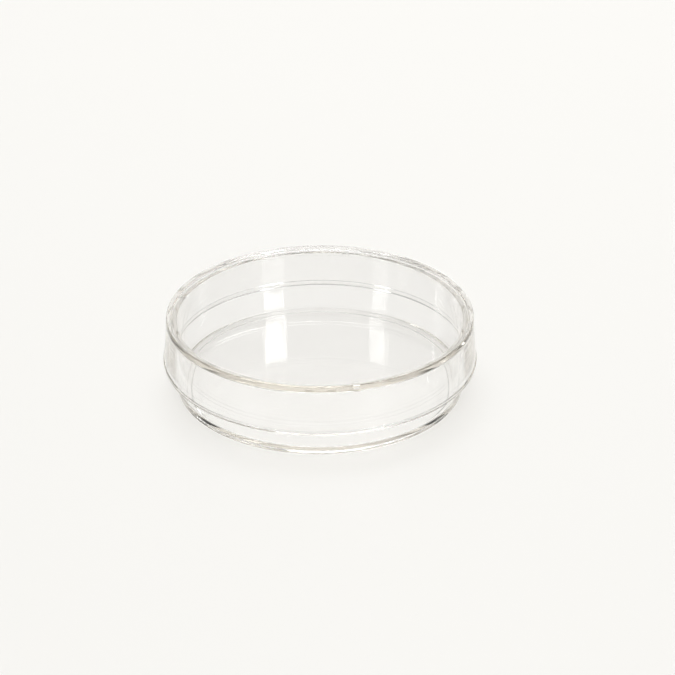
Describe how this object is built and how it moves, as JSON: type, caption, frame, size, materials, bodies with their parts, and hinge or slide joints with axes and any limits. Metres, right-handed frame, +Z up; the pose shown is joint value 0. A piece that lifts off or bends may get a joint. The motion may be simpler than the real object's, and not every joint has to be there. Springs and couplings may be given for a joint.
{
  "type": "petri dish",
  "caption": "Small round clear plastic culture dish with a loose overlapping lid that has a raised stacking ring round its flat top.",
  "frame": {"origin": "centre of the dish's foot, on the bench", "axes": "+Z up along the axis both mouldings are turned about, out through the lid; X and Y in the plane of the bench, with -Y taken as the front: one vent nib of the lid is 14 degrees from -Y towards +X, and the other two are a third of a turn on from it"},
  "size_m": [0.06, 0.06, 0.015],
  "materials": {
    "base_polystyrene": "clear crystal polystyrene, moulded, glossy, refractive index about 1.59, very faint warm grey tint",
    "lid_polystyrene": "clear crystal polystyrene, moulded, glossy, refractive index about 1.59, almost colourless"
  },
  "bodies": {
    "base": {"dish_base": "base_polystyrene"},
    "lid": {"dish_lid": "lid_polystyrene"}
  },
  "joints": [
    {"name": "lid_lift", "type": "slide", "parent": "base", "child": "lid", "axis": [0, 0, 1], "range_m": [0, 0.03]}
  ]
}
